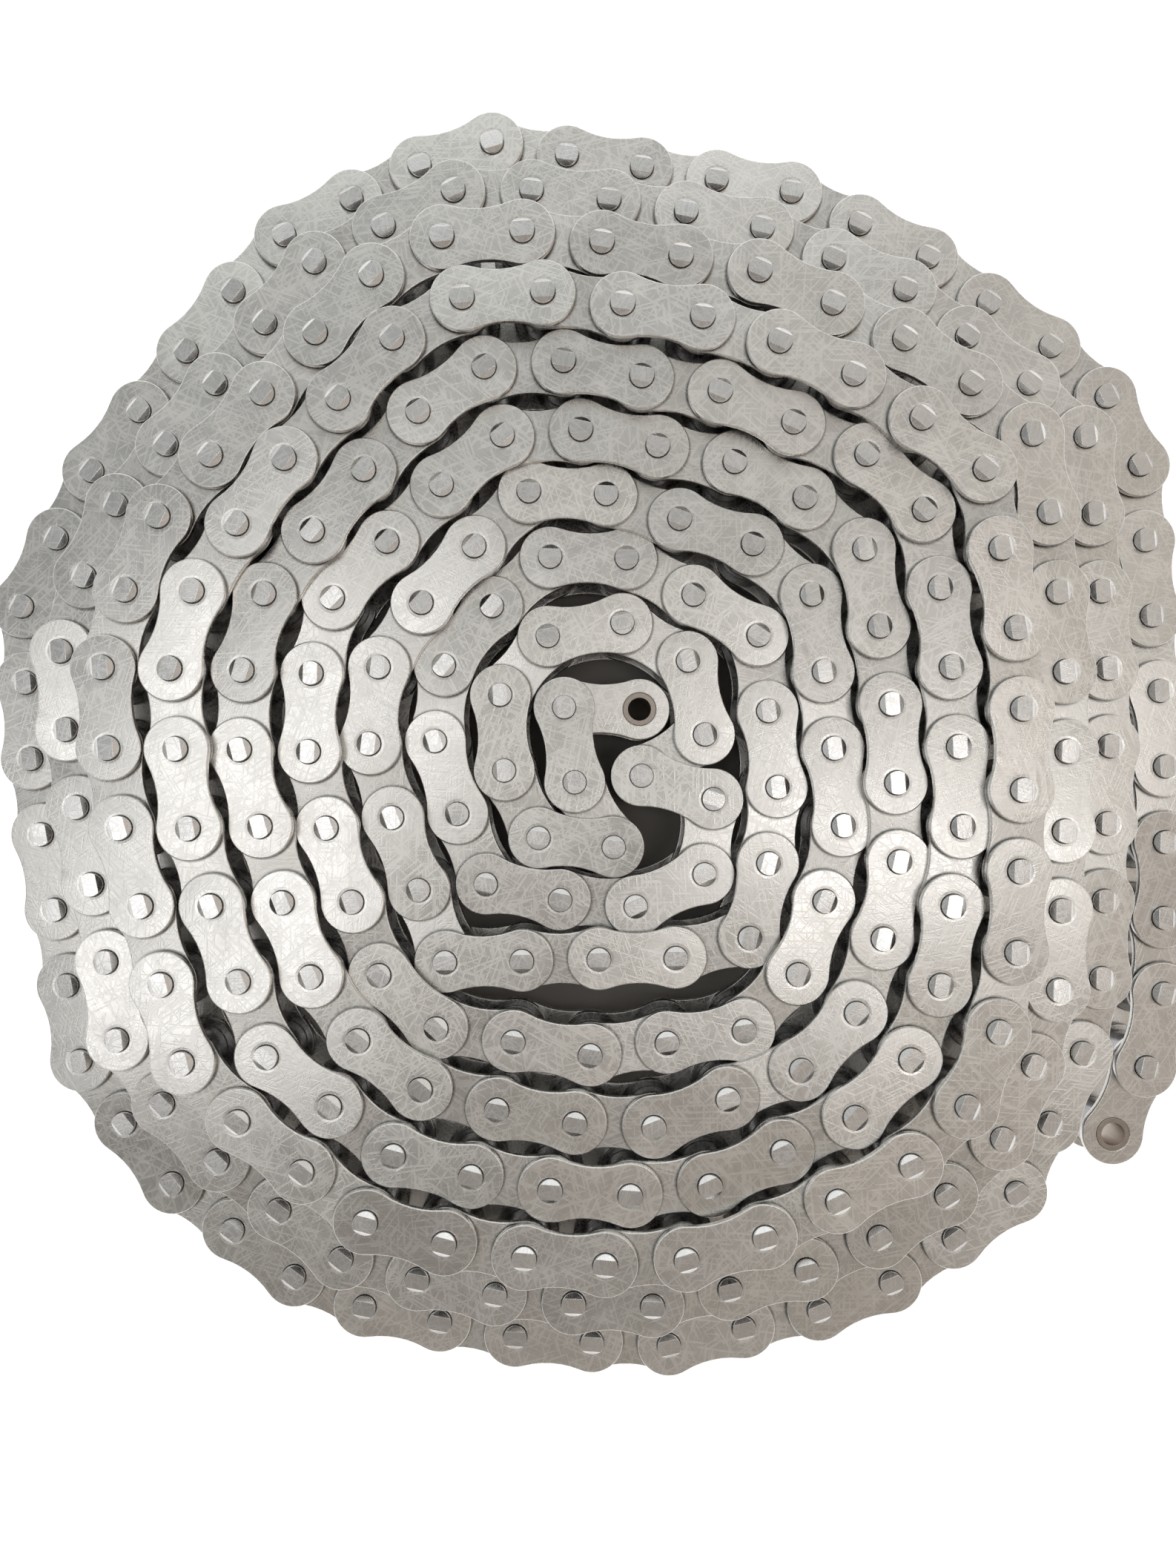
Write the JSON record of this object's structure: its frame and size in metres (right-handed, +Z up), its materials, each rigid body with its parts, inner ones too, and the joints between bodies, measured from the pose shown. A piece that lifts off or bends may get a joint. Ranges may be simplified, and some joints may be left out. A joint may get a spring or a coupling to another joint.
{
  "type": "roller chain",
  "caption": "Roller chain laid down in a flat spiral coil: waisted plates on riveted pins and bushings, turning rollers, both ends open inner links; it drives sprockets.",
  "frame": {"origin": "centre of the coil's outline at the height of the lowest pin ends, so the part rests on the plane z = 0", "axes": "+Z up, along every pin and across the chain's width; +X to the right and +Y away as the coil is seen from above"},
  "size_m": [0.3019, 0.3154, 0.0439],
  "materials": {
    "plates": "rolled and tumbled, fine random scratches, rounded bright edges",
    "pins": "riveted heads with two sloping flats",
    "bushings": "ground",
    "rollers": "polished, darker than the plates"
  },
  "bodies": {
    "coil": {"coil_bushings": "bushings", "coil_inner_plates_lower": "plates", "coil_inner_plates_upper": "plates", "coil_outer_plates_lower": "plates", "coil_outer_plates_upper": "plates", "coil_pins": "pins", "coil_rollers": "rollers", "core_link_2_lower_plate": "plates", "core_link_2_pin_a": "pins", "core_link_2_pin_b": "pins", "core_link_2_upper_plate": "plates"},
    "core_link_1": {"core_link_1_bushing_a": "bushings", "core_link_1_bushing_b": "bushings", "core_link_1_lower_plate": "plates", "core_link_1_upper_plate": "plates"},
    "core_link_1_roller_a": {"core_link_1_roller_a": "rollers"},
    "core_link_1_roller_b": {"core_link_1_roller_b": "rollers"},
    "tail_link_8": {"tail_link_8_lower_plate": "plates", "tail_link_8_pin_a": "pins", "tail_link_8_pin_b": "pins", "tail_link_8_upper_plate": "plates"},
    "tail_link_7": {"tail_link_7_bushing_a": "bushings", "tail_link_7_bushing_b": "bushings", "tail_link_7_lower_plate": "plates", "tail_link_7_upper_plate": "plates"},
    "tail_link_7_roller_a": {"tail_link_7_roller_a": "rollers"},
    "tail_link_7_roller_b": {"tail_link_7_roller_b": "rollers"},
    "tail_link_6": {"tail_link_6_lower_plate": "plates", "tail_link_6_pin_a": "pins", "tail_link_6_pin_b": "pins", "tail_link_6_upper_plate": "plates"},
    "tail_link_5": {"tail_link_5_bushing_a": "bushings", "tail_link_5_bushing_b": "bushings", "tail_link_5_lower_plate": "plates", "tail_link_5_upper_plate": "plates"},
    "tail_link_5_roller_a": {"tail_link_5_roller_a": "rollers"},
    "tail_link_5_roller_b": {"tail_link_5_roller_b": "rollers"},
    "tail_link_4": {"tail_link_4_lower_plate": "plates", "tail_link_4_pin_a": "pins", "tail_link_4_pin_b": "pins", "tail_link_4_upper_plate": "plates"},
    "tail_link_3": {"tail_link_3_bushing_a": "bushings", "tail_link_3_bushing_b": "bushings", "tail_link_3_lower_plate": "plates", "tail_link_3_upper_plate": "plates"},
    "tail_link_3_roller_a": {"tail_link_3_roller_a": "rollers"},
    "tail_link_3_roller_b": {"tail_link_3_roller_b": "rollers"},
    "tail_link_2": {"tail_link_2_lower_plate": "plates", "tail_link_2_pin_a": "pins", "tail_link_2_pin_b": "pins", "tail_link_2_upper_plate": "plates"},
    "tail_link_1": {"tail_link_1_bushing_a": "bushings", "tail_link_1_bushing_b": "bushings", "tail_link_1_lower_plate": "plates", "tail_link_1_upper_plate": "plates"},
    "tail_link_1_roller_a": {"tail_link_1_roller_a": "rollers"},
    "tail_link_1_roller_b": {"tail_link_1_roller_b": "rollers"}
  },
  "joints": [
    {"name": "core_link_1_hinge", "type": "hinge", "parent": "coil", "child": "core_link_1", "pos_m": [-0.008, 0.0083, 0.01135], "axis": [0, 0, 1], "range_deg": [-1, 4]},
    {"name": "core_link_1_roller_a_spin", "type": "hinge", "parent": "core_link_1", "child": "core_link_1_roller_a", "pos_m": [0.01105, 0.00797, 0.01135], "axis": [0, 0, 1], "continuous": true},
    {"name": "core_link_1_roller_b_spin", "type": "hinge", "parent": "core_link_1", "child": "core_link_1_roller_b", "pos_m": [-0.008, 0.0083, 0.01135], "axis": [0, 0, 1], "continuous": true},
    {"name": "tail_link_8_hinge", "type": "hinge", "parent": "coil", "child": "tail_link_8", "pos_m": [0.13823, 0.05034, 0.01135], "axis": [0, 0, 1], "range_deg": [0, 20]},
    {"name": "tail_link_7_hinge", "type": "hinge", "parent": "tail_link_8", "child": "tail_link_7", "pos_m": [0.13989, 0.03136, 0.01135], "axis": [0, 0, 1], "range_deg": [0, 20]},
    {"name": "tail_link_7_roller_a_spin", "type": "hinge", "parent": "tail_link_7", "child": "tail_link_7_roller_a", "pos_m": [0.14188, 0.01242, 0.01135], "axis": [0, 0, 1], "continuous": true},
    {"name": "tail_link_7_roller_b_spin", "type": "hinge", "parent": "tail_link_7", "child": "tail_link_7_roller_b", "pos_m": [0.13989, 0.03136, 0.01135], "axis": [0, 0, 1], "continuous": true},
    {"name": "tail_link_6_hinge", "type": "hinge", "parent": "tail_link_7", "child": "tail_link_6", "pos_m": [0.14188, 0.01242, 0.01135], "axis": [0, 0, 1], "range_deg": [0, 25]},
    {"name": "tail_link_5_hinge", "type": "hinge", "parent": "tail_link_6", "child": "tail_link_5", "pos_m": [0.14321, -0.00659, 0.01135], "axis": [0, 0, 1], "range_deg": [0, 30]},
    {"name": "tail_link_5_roller_a_spin", "type": "hinge", "parent": "tail_link_5", "child": "tail_link_5_roller_a", "pos_m": [0.14321, -0.02564, 0.01135], "axis": [0, 0, 1], "continuous": true},
    {"name": "tail_link_5_roller_b_spin", "type": "hinge", "parent": "tail_link_5", "child": "tail_link_5_roller_b", "pos_m": [0.14321, -0.00659, 0.01135], "axis": [0, 0, 1], "continuous": true},
    {"name": "tail_link_4_hinge", "type": "hinge", "parent": "tail_link_5", "child": "tail_link_4", "pos_m": [0.14321, -0.02564, 0.01135], "axis": [0, 0, 1], "range_deg": [0, 35]},
    {"name": "tail_link_3_hinge", "type": "hinge", "parent": "tail_link_4", "child": "tail_link_3", "pos_m": [0.14288, -0.04468, 0.01135], "axis": [0, 0, 1], "range_deg": [0, 45]},
    {"name": "tail_link_3_roller_a_spin", "type": "hinge", "parent": "tail_link_3", "child": "tail_link_3_roller_a", "pos_m": [0.14288, -0.06373, 0.01135], "axis": [0, 0, 1], "continuous": true},
    {"name": "tail_link_3_roller_b_spin", "type": "hinge", "parent": "tail_link_3", "child": "tail_link_3_roller_b", "pos_m": [0.14288, -0.04468, 0.01135], "axis": [0, 0, 1], "continuous": true},
    {"name": "tail_link_2_hinge", "type": "hinge", "parent": "tail_link_3", "child": "tail_link_2", "pos_m": [0.14288, -0.06373, 0.01135], "axis": [0, 0, 1], "range_deg": [0, 70]},
    {"name": "tail_link_1_hinge", "type": "hinge", "parent": "tail_link_2", "child": "tail_link_1", "pos_m": [0.13859, -0.0823, 0.01135], "axis": [0, 0, 1], "range_deg": [-10, 100]},
    {"name": "tail_link_1_roller_a_spin", "type": "hinge", "parent": "tail_link_1", "child": "tail_link_1_roller_a", "pos_m": [0.13115, -0.09983, 0.01135], "axis": [0, 0, 1], "continuous": true},
    {"name": "tail_link_1_roller_b_spin", "type": "hinge", "parent": "tail_link_1", "child": "tail_link_1_roller_b", "pos_m": [0.13859, -0.0823, 0.01135], "axis": [0, 0, 1], "continuous": true}
  ]
}
